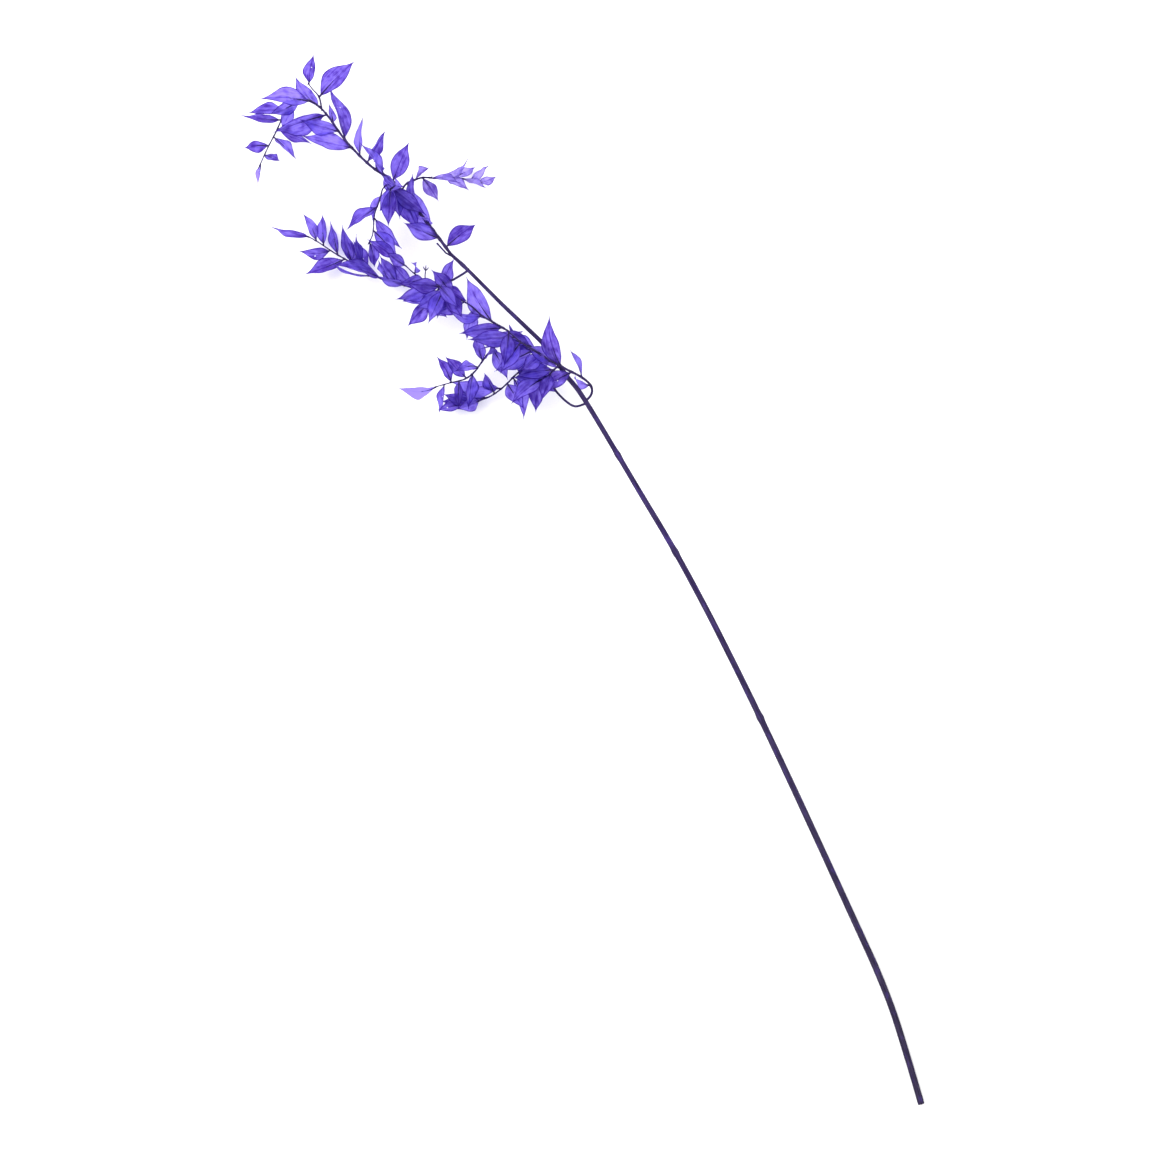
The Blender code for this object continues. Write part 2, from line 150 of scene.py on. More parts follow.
# The bark, in millimetres. Knots swell it by a share of its radius, and ridges roughen it by one.
BARK_STEP = 2.0
STALK_SIDES = 28
TWIG_SIDES = 12
BUD_SIDES = 6
STALK_KNOTS = (0.43, 0.62, 0.735, 0.985)  # places and width are shares of the stalk's length
STALK_KNOT_WIDTH = 0.004
STALK_KNOT_GAIN = 0.22
STALK_RIDGE = 0.06
TWIG_KNOT_WIDTH = 1.3
TWIG_KNOT_GAIN = 0.35
TWIG_RIDGE = 0.15
TWIG_SHARE = 0.88  # the share of the solid twig's radius that the bark has at its base
TWIG_END_RADIUS = 0.42
TWIG_TAPER = 1.3
GRAIN_ROUND = 2  # how far the noise of the ridges runs over a radius
GRAIN_ALONG = 0.03  # and along a millimetre
BARK_JUMP = 50  # sets one twig apart from another in the bark's pattern
STEEP = 0.9  # the rise past which a direction counts as upright

# The rings of the stalk's sawn face: each one's size as a share, its depth in the wood and its darkness.
SAWN_RINGS = ((0.86, 0.0, 0.0), (0.84, 0.05, 0.0), (0.3, 0.1, 0.0), (0.26, 0.35, 0.6))
PITH_DEPTH = 0.4

# Small woody details beside the twigs.
STUB = ((-364, 656, 43), (-368, 658, 45), (-375, 665.5, 46.5))
STUB_RADIUS = 0.85
STUB_TAPER = 0.15
SPROUT = ((-384, 637, 43.5), (-384, 641, 46), (-383.6, 644, 47.5))
SPROUT_RADIUS = 0.42
SPROUT_PRONGS = ((-1.8, 3.4, 0.8), (0.4, 4.2, 1.0), (2.4, 2.6, 0.6))
PRONG_BELLY = 0.25
FORK_BUD = (-351, 645, 42)
FORK_BUD_AHEAD = (0.2, 1, 0.6)

# The stage, in metres.
FLOOR_HALF = 6.0
PAPER = ((0.9, 0.9, 0.9, 1), (0.93, 0.93, 0.93, 1))
PAPER_GRAIN = 900.0
SKY_STRENGTH = 1.35
SOFTBOX_PLACE = (-0.8, 0.9, 1.6)
SOFTBOX_SIZE = (1.6, 1.2)
SOFTBOX_WATTS = 34.0
CAMERA_DISTANCE = 3.2
SPRAY_HEIGHT = 0.03
VIEW_WIDTH = 0.9
SENSOR_WIDTH = 36.0  # millimetres


class Leaf(NamedTuple):
    """A blade as it shows from above: its heading in degrees from +X, its length and its width."""

    heading: float
    length: float
    width: float


class Twig(NamedTuple):
    """The points that a twig runs through, its radius at each end, where its first blade grows as a share
    of the way, and its blades in order."""

    route: tuple
    radii: tuple
    first_leaf: float = 0.0
    leaves: tuple = ()


STALK = Twig(
    route=(
        (0, 0, LEVEL_FACET), (-10, 34, LEVEL_FACET), (-22, 72, LEVEL_FACET), (-35, 105, 3.4),
        (-50, 138, 4.9), (-84, 212, 9), (-121, 291, 14), (-158, 366, 19), (-190, 426, 24),
        (-222, 480, 28), (-261, 545, 33), (-276, 565, 35), (-291, 586, 36), (-306, 601, 37),
        (-326, 620, 39), (-351, 645, 41), (-364, 657, 42),
    ),
    radii=(STALK_RADIUS, 1.45),
)

CROWN = Twig(
    route=(
        (-364, 657, 42), (-376, 673, 43), (-386, 686, 44), (-402, 706, 45), (-410, 714, 45),
        (-426, 725, 45), (-444, 743, 46), (-457, 761, 46), (-465, 770, 46), (-473, 775, 45),
        (-481, 776, 43), (-488, 771, 40), (-494, 763, 35), (-500, 752, 28), (-506, 742, 22), (-514, 726, 17),
    ),
    radii=(1.45, 0.7),
    first_leaf=0.03,
    leaves=(
        Leaf(46, 31, 14), Leaf(160, 31, 13), Leaf(118, 33, 14), Leaf(144, 26, 5), Leaf(135, 32, 9),
        Leaf(110, 24, 9), Leaf(138, 27, 8), Leaf(160, 20, 8), Leaf(73, 33, 14), Leaf(126, 29, 9),
        Leaf(91, 25, 5), Leaf(62, 28, 6), Leaf(91, 31, 7), Leaf(160, 40, 15), Leaf(111, 44, 6),
        Leaf(170, 32, 12), Leaf(111, 18, 8), Leaf(191, 43, 13), Leaf(134, 34, 7), Leaf(177, 38, 16),
        Leaf(205, 26, 10), Leaf(257, 18, 11), Leaf(183, 30, 9), Leaf(171, 32, 10), Leaf(340, 28, 7),
        Leaf(314, 26, 8), Leaf(177, 21, 8), Leaf(324, 15, 6), Leaf(250, 18, 4),
    ),
)

CROWN_TOP = Twig(
    route=((-463, 767, 46), (-465, 777, 49), (-470, 783, 51), (-473, 787, 51)),
    radii=(0.9, 0.7),
    first_leaf=0.45,
    leaves=(Leaf(47, 39, 16), Leaf(79, 22, 9)),
)

CROWN_TUFT = Twig(
    route=((-407, 711, 45), (-405, 710, 51), (-407, 708, 56), (-410, 706, 60)),
    radii=(0.9, 0.7),
    first_leaf=0.4,
    leaves=(
        Leaf(296, 40, 17), Leaf(312, 24, 10), Leaf(284, 22, 12), Leaf(255, 18, 8), Leaf(322, 33, 13),
        Leaf(272, 30, 12),
    ),
)

LEFT = Twig(
    route=(
        (-351, 645, 41), (-358, 641, 36), (-366, 637, 32), (-376, 634, 27), (-394, 634, 20),
        (-407, 637, 17), (-425, 643, 14), (-444, 654, 13), (-456, 661, 12), (-468, 669, 12), (-477, 674, 12),
    ),
    radii=(1.15, 0.7),
    first_leaf=0.35,
    leaves=(
        Leaf(131, 24, 10), Leaf(165, 21, 8), Leaf(127, 27, 12), Leaf(113, 19, 3), Leaf(161, 39, 13),
        Leaf(163, 37, 9), Leaf(112, 29, 11), Leaf(99, 24, 7), Leaf(106, 31, 11), Leaf(205, 33, 12),
        Leaf(101, 28, 9), Leaf(188, 25, 8), Leaf(87, 25, 9), Leaf(110, 23, 7), Leaf(165, 29, 8),
    ),
)

LEFT_TUFT = Twig(
    route=((-370, 636, 31), (-374, 632, 28), (-378, 627, 24), (-381, 622, 21)),
    radii=(0.9, 0.7),
    first_leaf=0.1,
    leaves=(
        Leaf(64, 21, 10), Leaf(340, 18, 9), Leaf(170, 22, 12), Leaf(204, 26, 12), Leaf(300, 18, 12),
        Leaf(228, 27, 12),
    ),
)

MIDDLE = Twig(
    route=(
        (-261, 545, 33), (-257, 549, 37), (-256, 554, 40), (-259, 559, 43), (-266, 564, 44),
        (-274, 568, 44), (-290, 577, 43), (-300, 584, 42), (-312, 593, 41), (-326, 602, 39),
        (-340, 610, 37), (-349, 618, 36), (-361, 625, 35), (-382, 636, 43), (-392, 642, 47),
        (-400, 649, 50), (-408, 655, 51),
    ),
    radii=(1.2, 0.7),
    first_leaf=0.08,
    leaves=(
        Leaf(150, 17, 8), Leaf(122, 22, 4), Leaf(205, 30, 14), Leaf(111, 40, 14), Leaf(190, 30, 13),
        Leaf(222, 26, 12), Leaf(176, 30, 13), Leaf(206, 32, 13), Leaf(228, 24, 11), Leaf(191, 34, 13),
        Leaf(120, 40, 14), Leaf(176, 27, 9), Leaf(252, 29, 11), Leaf(200, 26, 12), Leaf(131, 27, 12),
        Leaf(259, 17, 11), Leaf(208, 32, 13), Leaf(185, 20, 11), Leaf(101, 10, 3), Leaf(150, 18, 9),
        Leaf(143, 24, 11),
    ),
)

MIDDLE_TUFT = Twig(
    route=((-281, 572, 44), (-286, 568, 41), (-291, 563, 37), (-297, 561, 33)),
    radii=(0.9, 0.7),
    first_leaf=0.25,
    leaves=(
        Leaf(190, 30, 14), Leaf(240, 22, 12), Leaf(170, 29, 13), Leaf(208, 32, 14), Leaf(258, 24, 11),
    ),
)

MIDDLE_FAN = Twig(
    route=((-294, 580, 43), (-300, 583, 48), (-309, 588, 53), (-320, 597, 56)),
    radii=(0.9, 0.7),
    first_leaf=0.1,
    leaves=(
        Leaf(162, 38, 15), Leaf(206, 34, 13), Leaf(330, 32, 12), Leaf(236, 30, 13), Leaf(186, 36, 14),
        Leaf(262, 28, 12),
    ),
)

MIDDLE_TOP = Twig(
    route=((-361, 625, 35), (-365, 628, 42), (-369, 630, 48), (-374, 633, 53)),
    radii=(0.9, 0.7),
    first_leaf=0.4,
    leaves=(Leaf(204, 30, 14), Leaf(286, 26, 12), Leaf(242, 29, 13), Leaf(172, 27, 11), Leaf(318, 22, 10)),
)

MIDDLE_SIDE = Twig(
    route=(
        (-319, 597, 40), (-326, 591, 38), (-330, 587, 37), (-337, 580, 35), (-343, 572, 33),
        (-347, 567, 32), (-354, 562, 31), (-366, 559, 30), (-377, 556, 29),
    ),
    radii=(0.95, 0.7),
    first_leaf=0.25,
    leaves=(
        Leaf(301, 25, 12), Leaf(72, 18, 7), Leaf(115, 21, 9), Leaf(190, 18, 7), Leaf(267, 27, 10),
        Leaf(132, 22, 10), Leaf(266, 20, 8), Leaf(125, 21, 8), Leaf(255, 22, 6), Leaf(187, 29, 5),
    ),
)

LOWER = Twig(
    route=(
        (-261, 543, 33), (-269, 541, 31), (-276, 545, 29), (-283, 552, 27), (-287, 558, 26),
        (-295, 565, 24), (-306, 569, 22), (-312, 568, 20), (-316, 565, 18), (-322, 559, 16),
        (-328, 554, 14), (-336, 549, 12), (-348, 545, 10), (-357, 543, 9),
    ),
    radii=(1.15, 0.7),
    first_leaf=0.27,
    leaves=(
        Leaf(130, 15, 6), Leaf(140, 24, 12), Leaf(160, 26, 12), Leaf(125, 22, 11), Leaf(322, 30, 14),
        Leaf(293, 14, 9), Leaf(296, 33, 10), Leaf(300, 30, 15), Leaf(169, 41, 15), Leaf(110, 20, 9),
        Leaf(171, 38, 13), Leaf(205, 23, 5), Leaf(168, 24, 10), Leaf(196, 18, 8),
    ),
)

RIGHT = Twig(
    route=(
        (-402, 706, 45), (-399, 711, 42), (-394, 714, 39), (-386, 717, 34), (-375, 717, 28),
        (-362, 718, 20), (-350, 717, 15), (-343, 714, 13),
    ),
    radii=(0.95, 0.7),
    first_leaf=0.12,
    leaves=(
        Leaf(292, 28, 8), Leaf(31, 16, 5), Leaf(312, 20, 9), Leaf(352, 24, 7), Leaf(27, 28, 7),
        Leaf(345, 20, 7), Leaf(36, 24, 6), Leaf(332, 22, 6), Leaf(45, 18, 6), Leaf(10, 15, 6),
    ),
)

HANGING = Twig(
    route=(
        (-376, 672, 43), (-382, 674, 39), (-388, 678, 37), (-395, 688, 36), (-402, 697, 36),
        (-409, 707, 36), (-413, 711, 36), (-417, 708, 36), (-419, 700, 36), (-423, 689, 36),
        (-424, 679, 36), (-425, 672, 36), (-428, 666, 36),
    ),
    radii=(0.95, 0.7),
    first_leaf=0.45,
    leaves=(
        Leaf(120, 20, 8), Leaf(283, 16, 9), Leaf(243, 25, 7), Leaf(214, 30, 11), Leaf(309, 31, 10),
        Leaf(311, 29, 12), Leaf(281, 20, 7),
    ),
)


def smooth_route(route, step):
    """Points about a step apart on a smooth curve through the route's own points."""
    knots = [Vector(point) for point in route]
    knots = [2 * knots[0] - knots[1], *knots, 2 * knots[-1] - knots[-2]]
    points = []
    for before, start, end, after in zip(knots, knots[1:], knots[2:], knots[3:]):
        count = max(1, round((end - start).length / step))
        handles = start + (end - before) / 6, end - (after - start) / 6
        points += geometry.interpolate_bezier(start, *handles, end, count + 1)[:-1]
    return points + [knots[-2]]


def along(points, station):
    """The place and the direction at a share of the way along the points."""
    lengths = [(end - start).length for start, end in zip(points, points[1:])]
    left = station * sum(lengths)
    for start, end, length in zip(points, points[1:], lengths):
        if left <= length:
            break
        left -= length
    return start.lerp(end, min(left / length, 1)), (end - start).normalized()


def coarse_tube(points, radii):
    """The tapered tube that part.py makes, as a mesh in metres."""
    curve = bpy.data.curves.new("guide", "CURVE")
    curve.dimensions = "3D"
    curve.twist_mode = "Z_UP"
    curve.bevel_depth = MM
    curve.bevel_resolution = 2 if radii[0] > 2 else 1
    curve.use_fill_caps = True
    line = curve.splines.new("POLY")
    line.points.add(len(points) - 1)
    for index, (knot, point) in enumerate(zip(line.points, points)):
        share = index / (len(points) - 1)
        knot.co = (*(point * MM), 1)
        knot.radius = radii[0] + (radii[1] - radii[0]) * share**3
        knot.tilt = math.pi / 8
    guide = bpy.data.objects.new("guide", curve)
    bpy.context.scene.collection.objects.link(guide)
    mesh = bpy.data.meshes.new_from_object(guide.evaluated_get(bpy.context.evaluated_depsgraph_get()))
    bpy.data.objects.remove(guide)
    return mesh


def tree_of(mesh):
    """A search tree in millimetres."""
    shell = bmesh.new()
    shell.from_mesh(mesh)
    bmesh.ops.remove_doubles(shell, verts=shell.verts, dist=0.001 * MM)
    bmesh.ops.scale(shell, verts=shell.verts[:], vec=(1 / MM, 1 / MM, 1 / MM))
    tree = BVHTree.FromBMesh(shell)
    shell.free()
    return tree


def half_width(share, length, tip=TIP_HALF_WIDTH):
    """Half of a blade's width at a share of its length: widest below the middle, with a drawn-out tip."""
    ripe = max(0, share - PETIOLE_SHARE) / (1 - PETIOLE_SHARE)
    outline = math.sin(math.pi * ripe**BLADE_BELLY) ** (BASE_POWER + TIP_POWER * ripe) if 0 < ripe < 1 else 0
    least = PETIOLE_HALF_WIDTH + (tip - PETIOLE_HALF_WIDTH) * share
    return max(least, outline * BLADE_ASPECT * length / 2)


class Blade(NamedTuple):
    """How a blade grows: angles in radians, lengths in millimetres, and bend, curl and sickle as shares
    of its length. Fold is the slope of its halves."""

    root: Vector
    heading: float
    lift: float
    roll: float
    length: float
    bend: float
    curl: float
    fold: float
    sickle: float
    twist: float


def blade_place(blade, share, side):
    """A place on the middle surface of a blade, with the surface's direction out there."""
    level = math.cos(blade.lift)
    ahead = Vector((math.cos(blade.heading) * level, math.sin(blade.heading) * level, math.sin(blade.lift)))
    flat = Vector((0, 0, 1)).cross(ahead).normalized()
    across = Matrix.Rotation(blade.roll + blade.twist * share, 3, ahead) @ flat
    out = ahead.cross(across)
    sway = blade.sickle * blade.length * share**2
    rise = blade.length * (blade.bend * share * (1 - share) * 2 + blade.curl * share**3)
    rise += blade.fold * abs(side) * math.sin(math.pi * share)
    return blade.root + ahead * blade.length * share + across * (side + sway) + out * rise, out


def blade_room(blade, thickness, start, margin):
    """The coarse closed blade that part.py tests for room. Start is the share of its length where it
    begins, and margin widens and lengthens it."""
    end = 1 + margin / blade.length
    shell = bmesh.new()
    bmesh.ops.create_grid(shell, x_segments=2, y_segments=BLADE_ROWS, size=1)
    for vertex in shell.verts:
        share = start + (end - start) * (vertex.co.y + 1) / 2
        vertex.co, _ = blade_place(blade, share, vertex.co.x * (half_width(share, blade.length) + margin))
    bmesh.ops.triangulate(shell, faces=shell.faces[:])
    shell.normal_update()
    for vertex in shell.verts:
        vertex.co -= vertex.normal * thickness / 2
    bmesh.ops.solidify(shell, geom=shell.faces[:], thickness=-thickness)
    bmesh.ops.recalc_face_normals(shell, faces=shell.faces[:])
    return shell


def leaf_stations(twig):
    """Where the blades of a twig grow, as shares of the way."""
    last = len(twig.leaves) - 1
    return [twig.first_leaf + (LAST_LEAF - twig.first_leaf) * index / last for index in range(last + 1)]


def grow_blades(twig, draw):
    """The blades of a twig as they would stand with room all round them."""
    points = smooth_route(twig.route, ROUTE_STEP)
    for index, (leaf, station) in enumerate(zip(twig.leaves, leaf_stations(twig))):
        root, direction = along(points, station)
        heading = math.radians(leaf.heading + draw.uniform(*HEADING_SPREAD))
        off_twig = math.acos(min(1, direction.xy.normalized().dot((math.cos(heading), math.sin(heading)))))
        shortfall = max(1, FULL_BLADE * (1 - END_SHORTENING * station) - leaf.length)
        length = leaf.length + HIDDEN_SHARE * shortfall
        lift = max(math.acos(leaf.length / length), math.sqrt(max(0, OFF_TWIG**2 - off_twig**2)))
        length = leaf.length / math.cos(lift)
        yield Blade(
            root=root,
            heading=heading,
            lift=-lift if index % 2 == 0 and root.z > length * math.sin(lift) + FLOOR_CLEARANCE else lift,
            roll=draw.choice((-1, 1)) * math.acos(min(1, leaf.width / (BLADE_ASPECT * length))),
            length=length,
            bend=draw.uniform(*BENDS),
            curl=draw.uniform(*CURLS),
            fold=draw.uniform(*FOLDS),
            sickle=draw.uniform(*SICKLES),
            twist=draw.uniform(*TWISTS),
        )


def effort(change):
    """How far a change of pose takes a blade from the photographed one."""
    turn, spin, swing, shrink = change
    bending = abs(turn) / EASY_TURN + abs(spin) / EASY_SPIN + abs(swing) / EASY_SWING
    return bending + (1 - shrink) * SHRINK_EFFORT


CHANGES = sorted(itertools.product(TURNS, SPINS, SWINGS, SHRINKS), key=effort)


class Rooms(NamedTuple):
    """Search trees of the room that a blade takes: all of it, and the part past its petiole."""

    whole: BVHTree
    free: BVHTree


def room_of(blade, start):
    """A search tree of the room that a blade takes from a share of its length on, and its lowest height."""
    room = blade_room(blade, BLADE_THICKNESS + 2 * BLADE_CLEARANCE, start, BLADE_CLEARANCE)
    lowest = min(vertex.co.z for vertex in room.verts) + BLADE_CLEARANCE
    tree = BVHTree.FromBMesh(room)
    room.free()
    return tree, lowest


def settle(blade, kin, strangers):
    """The nearest pose of a blade that clears the floor, the blades of its own spray past their petioles,
    and everything of the other sprays. It comes with its rooms."""
    for turn, spin, swing, shrink in CHANGES:
        posed = blade._replace(
            heading=blade.heading + math.radians(swing),
            lift=blade.lift + math.radians(turn),
            roll=blade.roll + math.radians(spin),
            length=blade.length * shrink,
        )
        free, lowest = room_of(posed, PETIOLE_END)
        if lowest <= FLOOR_CLEARANCE or any(free.overlap(other) for other in kin):
            continue
        whole, _ = room_of(posed, 0)
        if not any(whole.overlap(other) for other in strangers):
            return posed, Rooms(whole, free)
    return None


def settled_blades(sprays, routes):
    """The blades of each spray, where part.py places them."""
    draw = random.Random(PLACING_SEED)
    wood = {"main_stalk": [tree_of(coarse_tube(routes[STALK], STALK.radii))]}
    grown = []
    for name, twigs in sprays.items():
        wood[name] = [tree_of(coarse_tube(routes[twig], twig.radii)) for twig in twigs]
        grown += [(name, blade) for twig in twigs for blade in grow_blades(twig, draw)]
    grown.sort(key=lambda item: -item[1].length * math.cos(item[1].lift))
    placed = []
    for name, blade in grown:
        kin = [rooms.free for other, _, rooms in placed if other == name]
        strangers = [rooms.whole for other, _, rooms in placed if other != name]
        strangers += [tree for other, trees in wood.items() if other != name for tree in trees]
        settled = settle(blade, kin, strangers)
        if settled is not None:
            placed.append((name, *settled))
    return [(name, blade) for name, blade, _ in placed]


BUMP_STRENGTH = 0.8


def set_input(node, name, value):
    node.inputs[name].default_value = value


class Nodes:
    """Short calls that add and link nodes in one material."""

    def __init__(self, name):
        self.material = bpy.data.materials.new(name)
        self.material.use_nodes = True
        self.tree = self.material.node_tree
        self.shader = self.tree.nodes["Principled BSDF"]
        self.output = self.tree.nodes["Material Output"]

    def add(self, kind, **settings):
        node = self.tree.nodes.new(kind)
        for key, value in settings.items():
            setattr(node, key, value)
        return node

    def link(self, source, target):
        self.tree.links.new(source, target)

    def feed(self, socket, value):
        if isinstance(value, bpy.types.NodeSocket):
            self.link(value, socket)
        else:
            socket.default_value = value

    def attribute(self, name):
        """The three parts of a vector that the mesh carries."""
        source = self.add("ShaderNodeAttribute", attribute_name=name)
        parts = self.add("ShaderNodeSeparateXYZ")
        self.link(source.outputs["Vector"], parts.inputs[0])
        return parts.outputs

    def math(self, operation, first, second=0.0, third=0.0):
        node = self.add("ShaderNodeMath", operation=operation)
        for socket, value in zip(node.inputs, (first, second, third)):
            self.feed(socket, value)
        return node.outputs[0]

    def ramp(self, value, low, high, to_low=0.0, to_high=1.0):
        """The value carried smoothly from one range to another."""
        node = self.add("ShaderNodeMapRange", interpolation_type="SMOOTHSTEP")
        for socket, given in zip(node.inputs, (value, low, high, to_low, to_high)):
            self.feed(socket, given)
        return node.outputs[0]

    def vector(self, x, y, z):
        node = self.add("ShaderNodeCombineXYZ")
        for socket, value in zip(node.inputs, (x, y, z)):
            self.feed(socket, value)
        return node.outputs[0]

    def noise(self, vector, scale, detail=2.0, roughness=0.5):
        node = self.add("ShaderNodeTexNoise")
        self.link(vector, node.inputs["Vector"])
        set_input(node, "Scale", scale)
        set_input(node, "Detail", detail)
        set_input(node, "Roughness", roughness)
        return node.outputs["Fac"]

    def mix(self, factor, first, second):
        node = self.add("ShaderNodeMix", data_type="RGBA")
        colours = [socket for socket in node.inputs if socket.type == "RGBA"]
        self.feed(node.inputs[0], factor)
        self.feed(colours[0], first)
        self.feed(colours[1], second)
        return [socket for socket in node.outputs if socket.type == "RGBA"][0]

    def blend(self, share, first, second):
        """The first shader, with a share of the second."""
        node = self.add("ShaderNodeMixShader")
        set_input(node, 0, share)
        self.link(first, node.inputs[1])
        self.link(second, node.inputs[2])
        return node.outputs[0]

    def gloss(self, roughness, specular):
        set_input(self.shader, "Roughness", roughness)
        set_input(self.shader, "Specular IOR Level", specular)

    def bump(self, height, distance):
        node = self.add("ShaderNodeBump")
        self.link(height, node.inputs["Height"])
        set_input(node, "Distance", distance)
        set_input(node, "Strength", BUMP_STRENGTH)
        self.link(node.outputs["Normal"], self.shader.inputs["Normal"])
        return node.outputs["Normal"]


class Mark(NamedTuple):
    """A noise pattern on a blade: how far the noise runs over a millimetre across it and along it, its
    scale and detail, its values where the pattern starts and is full, and the depth of colour that it
    adds at each of the two."""

    across: float
    along: float
    scale: float
    detail: float
    start: float
    full: float
    least: float
    most: float


FIBRE = Mark(across=2.6, along=0.2, scale=1.0, detail=3.0, start=0.35, full=0.75, least=-0.05, most=0.25)
CREASE = Mark(across=0.8, along=0.11, scale=1.0, detail=2.0, start=0.35, full=0.7, least=-0.12, most=0.32)
BLOTCH = Mark(across=1.0, along=1.0, scale=0.17, detail=3.0, start=0.35, full=0.7, least=-0.15, most=0.3)
SPOT = Mark(across=1.0, along=1.0, scale=0.8, detail=1.0, start=0.72, full=0.8, least=0.0, most=0.5)

VEINS = 6.5  # on each half of a blade
VEIN_HALF_WIDTH = 0.22  # as a share of their spacing
EDGE_FADE = (0.3, 0.85)  # where the dark edge starts to fade and has gone, in millimetres from the outline
RIB_FADE = (0.15, 0.6)  # the same for the dark rib, from the middle
BASE_FADE = (0.03, 0.3)  # the same for the dark base, in shares of the length
VEIN_DEPTH = 0.14
EDGE_DEPTH = 0.8
RIB_DEPTH = 0.4
BASE_DEPTH = 0.25
TONE_DEPTH = 0.65
TONE_START = -0.15
PATTERN_JUMP = 90.0  # sets blades of different tones far apart in the noise
VEIN_HEIGHT = 0.5
FIBRE_HEIGHT = 0.4
CREASE_HEIGHT = 2.5
BLADE_RELIEF = 0.00025


def blade_material(name, film, film_deep, body, body_deep):
    """A dyed, papery blade. Light comes through it tinted, deeper at its veins, rib, creases and edges."""
    nodes = Nodes(name)
    side, half, across = nodes.attribute("blade_place")
    share, tone, length = nodes.attribute("blade_mark")
    reach = nodes.math("MULTIPLY", share, length)
    own = nodes.math("MULTIPLY", tone, PATTERN_JUMP)

    off_middle = nodes.math("ABSOLUTE", side)
    inset = nodes.math("SUBTRACT", half, off_middle)
    vein_turn = nodes.math("PINGPONG", nodes.math("MULTIPLY", nodes.math("ABSOLUTE", across), VEINS), 0.5)
    veins = nodes.ramp(vein_turn, 0.0, VEIN_HALF_WIDTH, 1.0, 0.0)
    edge = nodes.ramp(inset, *EDGE_FADE, 1.0, 0.0)
    rib = nodes.ramp(off_middle, *RIB_FADE, 1.0, 0.0)
    base = nodes.ramp(share, *BASE_FADE, 1.0, 0.0)

    deep = 0.0
    for pattern, depth in ((veins, VEIN_DEPTH), (edge, EDGE_DEPTH), (rib, RIB_DEPTH), (base, BASE_DEPTH)):
        deep = nodes.math("MULTIPLY_ADD", pattern, depth, deep)
    noises = {}
    for mark in (FIBRE, CREASE, BLOTCH, SPOT):
        sideways = nodes.math("MULTIPLY", side, mark.across)
        onward = nodes.math("MULTIPLY", reach, mark.along)
        noises[mark] = nodes.noise(nodes.vector(sideways, onward, own), mark.scale, mark.detail)
        added = nodes.ramp(noises[mark], mark.start, mark.full, mark.least, mark.most)
        deep = nodes.math("ADD", deep, added)
    deep = nodes.math("ADD", deep, nodes.math("MULTIPLY_ADD", tone, TONE_DEPTH, TONE_START))
    deep = nodes.math("MINIMUM", nodes.math("MAXIMUM", deep, 0.0), 1.0)

    film_colour = nodes.mix(deep, film, film_deep)
    nodes.link(nodes.mix(deep, body, body_deep), nodes.shader.inputs["Base Color"])
    nodes.gloss(roughness=0.4, specular=0.18)
    height = nodes.math("MULTIPLY_ADD", veins, VEIN_HEIGHT, rib)
    height = nodes.math("MULTIPLY_ADD", noises[FIBRE], FIBRE_HEIGHT, height)
    height = nodes.math("MULTIPLY_ADD", noises[CREASE], CREASE_HEIGHT, height)
    normal = nodes.bump(height, BLADE_RELIEF)

    through = nodes.add("ShaderNodeBsdfTranslucent")
    nodes.link(film_colour, through.inputs["Color"])
    nodes.link(normal, through.inputs["Normal"])
    clear = nodes.add("ShaderNodeBsdfTransparent")
    nodes.link(film_colour, clear.inputs["Color"])
    solid = nodes.blend(THROUGH_SHARE, nodes.shader.outputs[0], through.outputs[0])
    sheet = nodes.blend(CLEAR_SHARE, solid, clear.outputs[0])
    nodes.link(sheet, nodes.output.inputs["Surface"])
    nodes.material.diffuse_color = body
    return nodes.material


# The dark and the light colour of the bark near the cut end and among the sprays, and of the sawn wood.
LOW_BARK = ((0.01, 0.007, 0.022, 1), (0.048, 0.036, 0.08, 1))
HIGH_BARK = ((0.012, 0.007, 0.032, 1), (0.045, 0.03, 0.11, 1))
SAWN_WOOD = ((0.32, 0.22, 0.3, 1), (0.55, 0.45, 0.45, 1))
PATCH_COLOUR = (0.08, 0.04, 0.3, 1)
PITH_COLOUR = (0.01, 0.007, 0.02, 1)
PLAIN_BARK = (0.05, 0.035, 0.08, 1)
STREAK_ALONG = 0.05  # how far the noise of the streaks runs along a millimetre
PATCH_ALONG = 0.3
BARK_RELIEF = 0.0003


def bark_material():
    """Dyed bark with fine lengthwise streaks: greyer near the cut end, deep purple among the sprays."""
    nodes = Nodes("dyed_bark")
    around, over, reach = nodes.attribute("bark_place")
    height_up, scar, cut = nodes.attribute("bark_mark")
    streak_place = nodes.vector(around, over, nodes.math("MULTIPLY", reach, STREAK_ALONG))
    streak = nodes.noise(streak_place, scale=1.6, detail=4.0, roughness=0.6)
    patch_place = nodes.vector(around, over, nodes.math("MULTIPLY", reach, PATCH_ALONG))
    patch = nodes.noise(patch_place, scale=0.35, detail=2.0)
    rings = nodes.noise(nodes.vector(around, over, 0.0), scale=2.5, detail=3.0)

    light = nodes.ramp(streak, low=0.3, high=0.75)
    up_stem = nodes.ramp(height_up, low=0.1, high=0.75)
    colour = nodes.mix(up_stem, nodes.mix(light, *LOW_BARK), nodes.mix(light, *HIGH_BARK))
    colour = nodes.mix(nodes.ramp(patch, low=0.5, high=0.8, to_high=0.3), colour, PATCH_COLOUR)
    colour = nodes.mix(scar, colour, PITH_COLOUR)
    wood = nodes.mix(nodes.ramp(rings, low=0.3, high=0.7), *SAWN_WOOD)
    nodes.link(nodes.mix(cut, colour, wood), nodes.shader.inputs["Base Color"])
    nodes.gloss(roughness=0.65, specular=0.06)
    nodes.bump(streak, BARK_RELIEF)
    nodes.material.diffuse_color = PLAIN_BARK
    return nodes.material


